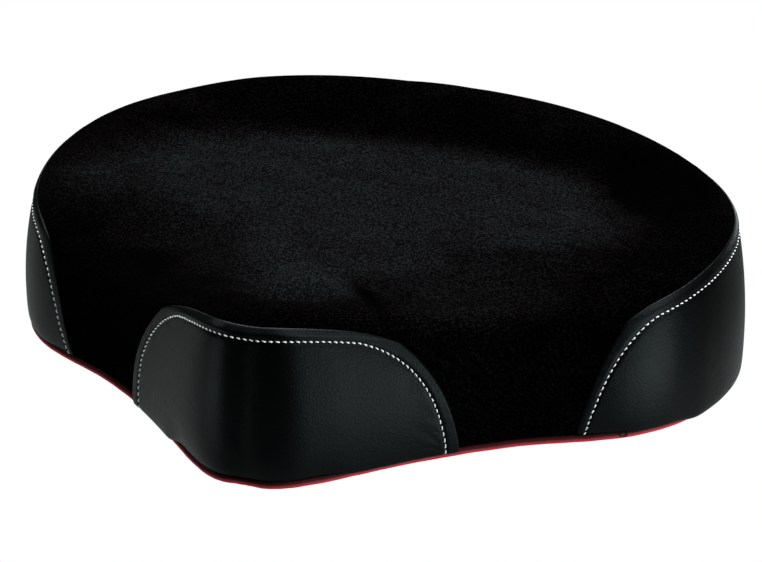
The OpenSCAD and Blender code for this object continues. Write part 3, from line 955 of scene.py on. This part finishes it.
def stitch_body(s, t, bed, droop):
    """Rings of points round one stitch, arched between its two holes and twisted from two plies."""
    arch = np.sin(np.linspace(0, np.pi, STITCH_RINGS))
    radius = THREAD_R * (THREAD_NECK + (1 - THREAD_NECK) * arch**0.5)
    lift = bed.mean() - THREAD_SINK + THREAD_ARCH * arch**0.6
    path = cover_point(s, t, lift, droop)
    up = cover_point(s, t, lift + 1, droop) - path
    side = unit(np.cross(unit(np.gradient(path, axis=0)), up))
    path = path + side * np.linspace(-THREAD_SLANT, THREAD_SLANT, STITCH_RINGS)[:, None]
    ring = np.linspace(0, 2 * np.pi, STITCH_SIDES, endpoint=False)[None]
    twist = np.linspace(0, PLY_TURN, STITCH_RINGS)[:, None]
    r = (radius[:, None] * (1 + PLY_DEPTH * np.cos(2 * (ring - twist))))[..., None]
    ring = ring[..., None]
    return path[:, None] + r * (np.cos(ring) * side[:, None] + np.sin(ring) * up[:, None])


def stitch_faces(first):
    """Faces of one stitch whose points start at number first: its sides and its two ends."""
    n = STITCH_SIDES
    last = first + (STITCH_RINGS - 1) * n
    faces = []
    for a in range(first, last, n):
        for j in range(n):
            k = (j + 1) % n
            faces.append([a + j, a + k, a + n + k, a + n + j])
    faces.append([first + j for j in range(n)][::-1])
    faces.append([last + j for j in range(n)])
    return faces


def stitches(name, kind, node, mirrored=False):
    """Separate lockstitches of two-ply thread, each bedded in the leatherette at both ends."""
    line_s, line_t, length = stitch_curve(kind, STITCH_STEPS)
    count = int(length / STITCH_PITCH)
    index = np.arange(len(line_s))
    along = np.linspace(*STITCH_SPAN, STITCH_RINGS)
    at = (np.arange(count)[:, None] + along[None]) * len(line_s) / count
    all_s, all_t = np.interp(at, index, line_s), np.interp(at, index, line_t)
    bed = leather_lift(kind, all_s, all_t)
    droop = droop_at(kind, all_s)
    bodies = [stitch_body(*row) for row in zip(all_s, all_t, bed, droop)]
    points = np.array(bodies).reshape(-1, 3)
    faces = []
    for k in range(count):
        faces += stitch_faces(k * STITCH_SIDES * STITCH_RINGS)
    if mirrored:
        points[:, 0] *= -1
        faces = [f[::-1] for f in faces]
    obj = add_mesh(name, points, faces, WHITE_THREAD)
    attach(obj, "seat")
    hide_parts(node)


# ---------- piping ----------

PIPING_R = 2.4
PIPING_WRAP = 0.9 * np.pi
TAIL_IN = 8.0
TAIL_HALF = 0.75
WOBBLE = 0.175


def at_level(xy, z):
    """Points from their x and y, and their height over the piping."""
    return np.concatenate([xy, (SEAT_LEVEL + np.asarray(z) + 0 * xy[..., 0])[..., None]], -1)


def level_point(s, d, z):
    """Points d out from the outline at s, and z over the piping."""
    return at_level(rim_at(s)[0][..., :2] + outward(s) * np.asarray(d)[..., None], z)


def welt():
    """The piping: vinyl round a cord, its tail running in under the base."""
    s = np.linspace(0, AROUND, 900, endpoint=False)
    a = np.linspace(-PIPING_WRAP, PIPING_WRAP, 19)
    d = np.concatenate([[-TAIL_IN], PIPING_R * np.cos(a), [-TAIL_IN]])
    z = np.concatenate([[-TAIL_HALF], PIPING_R * np.sin(a), [TAIL_HALF]])
    wobble = WOBBLE * noise1(s * 2 * np.pi, 3, 1.0)
    all_s, all_d = np.meshgrid(s, d, indexing="ij")
    sections = level_point(all_s, all_d, z[None] + wobble[:, None])
    obj = tube("red_piping", sections[:, ::-1], RED, closed=True)
    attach(obj, "seat")
    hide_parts("piping")


LOOP_AT = 3.67
LOOP_HALF = 0.028
LOOP_R = 0.42
LOOP_HIGH = 1.7
LOOP_FALL = 2.3
LOOP_CLEAR = 0.25


def thread_loop():
    """A slack loop of the seam's black thread, lying over the piping by the right panel."""
    f = np.linspace(0, np.pi, 25)
    s = LOOP_AT - LOOP_HALF * np.cos(f)
    z = LOOP_HIGH - LOOP_FALL * np.sin(f)
    d = np.sqrt(PIPING_R**2 - z**2) + LOOP_R + LOOP_CLEAR
    path = level_point(s, d, z)
    ahead = unit(np.gradient(path, axis=0))
    away = level_point(s, 2 * d, 2 * z) - path
    away = unit(away - ahead * (away * ahead).sum(1)[:, None])
    side = np.cross(ahead, away)
    a = np.linspace(0, 2 * np.pi, 10, endpoint=False)[None, :, None]
    sections = path[:, None] + LOOP_R * (np.cos(a) * side[:, None] + np.sin(a) * away[:, None])
    obj = tube("seam_thread_loop", sections, BLACK_THREAD, closed=False)
    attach(obj, "seat")


# ---------- foam ----------

FOAM_DEPTH = 2.2
BASE_FOAM_TOP = 47.8
TOP_FOAM_FOOT = 48.0
BOARD_TOP = 13.0
WRAP_IN = 3.3
WRAP_LOW = 4.6


def t_at(s, z):
    """The t at which the wall passes the height z over the piping."""
    top = wall_head(rim_at(s)[0][:, 2])[1]
    return 1 + (z - WIDEST) / (top - WIDEST)


def foam_block(name, node, rings):
    """A closed block of foam through rings of points, from its underside to its top."""
    rings = np.array(rings)
    m, n = rings.shape[:2]
    points = np.concatenate([rings.reshape(-1, 3), [rings[0].mean(0), rings[-1].mean(0)]])
    faces = []
    for i in range(m - 1):
        for j in range(n):
            k = (j + 1) % n
            faces.append([i * n + j, i * n + k, (i + 1) * n + k, (i + 1) * n + j])
    for j in range(n):
        k = (j + 1) % n
        faces.append([k, j, m * n])
        faces.append([(m - 1) * n + j, (m - 1) * n + k, m * n + 1])
    obj = add_mesh(name, points, faces, FOAM)
    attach(obj, "seat")
    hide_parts(node)


def base_foam():
    """The firm layer, wrapped round the board's edge and flat on top."""
    s = np.linspace(0, AROUND, 240, endpoint=False)
    inside = np.full(s.shape, -WRAP_IN)
    rings = [level_point(s, inside, BOARD_TOP), level_point(s, inside, WRAP_LOW)]
    high_t = t_at(s, BASE_FOAM_TOP)
    for f in np.linspace(0.1, 1, 20):
        rings.append(cover_point(s, high_t * f, -FOAM_DEPTH))
    rings[-1][:, 2] = SEAT_LEVEL + BASE_FOAM_TOP
    foam_block("foam_base_block", "foam_base", rings)


def top_foam():
    """The softer layer, which has the seat's shape."""
    s = np.linspace(0, AROUND, 240, endpoint=False)
    rings = []
    low_t = t_at(s, TOP_FOAM_FOOT)
    for f in np.linspace(0, 1, 24):
        rings.append(cover_point(s, low_t + (CREST_T - low_t) * f, -FOAM_DEPTH))
    for q in np.linspace(1, 0.02, 40)[1:]:
        rings.append(top_point(s, q, -FOAM_DEPTH))
    rings[0][:, 2] = SEAT_LEVEL + TOP_FOAM_FOOT
    foam_block("foam_top_block", "foam_top", rings)


# ---------- underside cloths ----------

SKIRT_SPAN = (3.2, 34)
SKIRT_TOP = -0.9
SKIRT_UNDER = -1.35
PLEAT = 0.55
DUST_IN = 22.0
DUST_HOLE_R = 64
DUST_LEVEL = -2.3
DUST_T = 0.45
DUST_SLACK = 0.3
DUST_HEM = 0.5
DUST_HEM_SHARE = 0.12


def inset_point(s, w, z):
    """Points w in from the outline towards the seat's middle, and z over the piping."""
    p = rim_at(s)[0][..., :2]
    return at_level(p * (1 - w / np.linalg.norm(p, axis=-1))[..., None], z)


def pull_skirt():
    """The covers' skirt, folded under the board, gathered in small pleats."""
    s = np.linspace(0, AROUND, 1100, endpoint=False)
    gs, gw = np.meshgrid(s, np.linspace(*SKIRT_SPAN, 16), indexing="ij")
    pleat = PLEAT * np.abs(noise1(gs * 40, 11, 1.0)) * smooth((gw - 4) / 10)
    low = inset_point(gs, gw, SKIRT_UNDER - pleat)
    high = inset_point(gs, gw, SKIRT_TOP)
    obj = shell("pull_skirt_pleated", high, low, SKIRT, wrap=True)
    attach(obj, "seat")
    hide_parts("pull_skirt")


def dust_cover():
    """Dust cloth over the underside, with its edges turned under and slack between staples."""
    s = np.linspace(0, AROUND, 720, endpoint=False)
    gs, gf = np.meshgrid(s, np.linspace(0, 1, 40), indexing="ij")
    outer = inset_point(gs, DUST_IN, 0.0)
    angle = np.arctan2(outer[..., 1], outer[..., 0])
    hole = np.stack([DUST_HOLE_R * np.cos(angle), DUST_HOLE_R * np.sin(angle), outer[..., 2]], -1)
    sheet = outer * (1 - gf[..., None]) + hole * gf[..., None]
    hem = DUST_HEM * smooth((DUST_HEM_SHARE - gf) / 0.03)
    slack = DUST_SLACK * noise1(angle * 24 + gf * 3, 21, 1.0) * smooth(gf / 0.2) * smooth((1 - gf) / 0.1)
    sheet[..., 2] = SEAT_LEVEL + DUST_LEVEL - hem + slack
    low = sheet.copy()
    low[..., 2] -= DUST_T
    obj = shell("dust_cover_cloth", sheet, low, DUST, wrap=True)
    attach(obj, "seat")
    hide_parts("dust_cover")


# ---------- stage ----------

VIEW_AZIMUTH = 20.116
VIEW_ELEVATION = 23.294
VIEW_DISTANCE = 1.9
VIEW_TARGET = (0, 0, (SEAT_LEVEL + 50) * MM)
LENS = 142.9
SHIFT = (0.0326, 0.0019)
LIGHT_TINT = (0.94, 1.0, 1.0)
LIGHT_DISTANCE = 1.6
FLOOR_REACH = 6000
FLOOR_LEVEL = -500


def direction(azimuth, elevation):
    """From the seat towards this azimuth, counted from the nose towards +X, and elevation."""
    a, e = math.radians(azimuth), math.radians(elevation)
    return Vector((math.sin(a) * math.cos(e), -math.cos(a) * math.cos(e), math.sin(e)))


def camera():
    """The photo's viewpoint."""
    data = bpy.data.cameras.new("camera")
    data.sensor_width = 36
    data.lens = LENS
    data.shift_x, data.shift_y = SHIFT
    cam = bpy.data.objects.new("camera", data)
    back = direction(VIEW_AZIMUTH, VIEW_ELEVATION)
    cam.location = Vector(VIEW_TARGET) + back * VIEW_DISTANCE
    cam.rotation_mode = "QUATERNION"
    cam.rotation_quaternion = (-back).to_track_quat("-Z", "Y")
    bpy.context.scene.collection.objects.link(cam)
    bpy.context.scene.camera = cam


def softbox(name, azimuth, elevation, size, power):
    data = bpy.data.lights.new(name, "AREA")
    data.shape = "RECTANGLE"
    data.size, data.size_y = size
    data.energy = power
    data.color = LIGHT_TINT
    light = bpy.data.objects.new(name, data)
    aim = direction(azimuth, elevation)
    light.location = Vector(VIEW_TARGET) + aim * LIGHT_DISTANCE
    light.rotation_mode = "QUATERNION"
    light.rotation_quaternion = aim.to_track_quat("Z", "Y")
    light.visible_camera = False
    bpy.context.scene.collection.objects.link(light)


def backdrop(tree, others, seen):
    """Wires a mix that looks like seen to the camera and like others to every other ray."""
    path = tree.nodes.new("ShaderNodeLightPath")
    mix = tree.nodes.new("ShaderNodeMixShader")
    tree.links.new(path.outputs["Is Camera Ray"], mix.inputs[0])
    tree.links.new(seen.outputs[0], mix.inputs[2])
    tree.links.new(others.outputs[0], mix.inputs[1])
    return mix


def studio_world():
    """A white backdrop that gives hardly any light."""
    world = bpy.data.worlds.new("studio")
    bpy.context.scene.world = world
    world.use_nodes = True
    tree = world.node_tree
    dim = tree.nodes["Background"]
    dim.inputs["Color"].default_value = (0.9, 0.97, 1.0, 1)
    dim.inputs["Strength"].default_value = 0.015
    white = tree.nodes.new("ShaderNodeBackground")
    white.inputs["Color"].default_value = (1, 1, 1, 1)
    mix = backdrop(tree, dim, white)
    tree.links.new(mix.outputs[0], tree.nodes["World Output"].inputs["Surface"])


def floor_material():
    """White to the camera, pale grey in reflections, and clear from below."""
    pale, shader = material("pale_floor", base=(0.35, 0.35, 0.35), roughness=0.9)
    glow = add(pale, "Emission")
    mix = backdrop(pale.node_tree, shader, glow)
    side = add(pale, "NewGeometry")
    clear = add(pale, "BsdfTransparent")
    from_below = add(pale, "MixShader")
    wire(pale, side, "Backfacing", from_below, 0)
    wire(pale, mix, 0, from_below, 1)
    wire(pale, clear, 0, from_below, 2)
    wire(pale, from_below, 0, pale.node_tree.nodes["Material Output"], "Surface")
    return pale


def stage():
    """The backdrop, and a floor far below the seat."""
    studio_world()
    a, z = FLOOR_REACH, FLOOR_LEVEL
    corners = [(-a, -a, z), (a, -a, z), (a, a, z), (-a, a, z)]
    floor = add_mesh("floor", corners, [[0, 1, 2, 3]], floor_material(), smooth_shade=False)
    bpy.context.scene.view_settings.view_transform = "Standard"


def lights():
    """Softboxes by azimuth, elevation, size in metres and power."""
    softbox("softbox_top", -165, 66, (1.5, 0.75), 62)
    softbox("softbox_overhead", 0, 90, (1.0, 1.0), 8)
    softbox("softbox_back_right", 166, 3, (1.2, 0.55), 7)
    softbox("softbox_back_left", -152, 3, (1.0, 0.55), 3.5)
    softbox("softbox_right_high", 76, 34, (0.75, 0.75), 16)
    softbox("softbox_right_top", 80, 66, (0.6, 0.6), 7)
    softbox("softbox_left_high", -82, 42, (0.75, 0.75), 7)
    softbox("softbox_right_low", 76, -15, (0.80, 0.75), 17)
    softbox("softbox_right", 78, 12, (0.75, 0.75), 2.4)
    softbox("softbox_left_low", -54, -15, (0.80, 0.75), 4.6)
    softbox("softbox_left_edge", -41, -13, (0.35, 0.75), 1.8)
    softbox("softbox_left", -95, -15, (1.5, 0.75), 1.5)


def build():
    camera()
    stage()
    lights()
    dress_cad_nodes()
    velour_cover()
    leather_panel("front_panel_leather", "front", "front_panel")
    leather_panel("right_panel_leather", "side", "right_panel")
    leather_panel("left_panel_leather", "side", "left_panel", mirrored=True)
    stitches("front_stitches", "front", "front_topstitch")
    stitches("right_stitches", "side", "right_topstitch")
    stitches("left_stitches", "side", "left_topstitch", mirrored=True)
    welt()
    thread_loop()
    base_foam()
    top_foam()
    pull_skirt()
    dust_cover()


build()
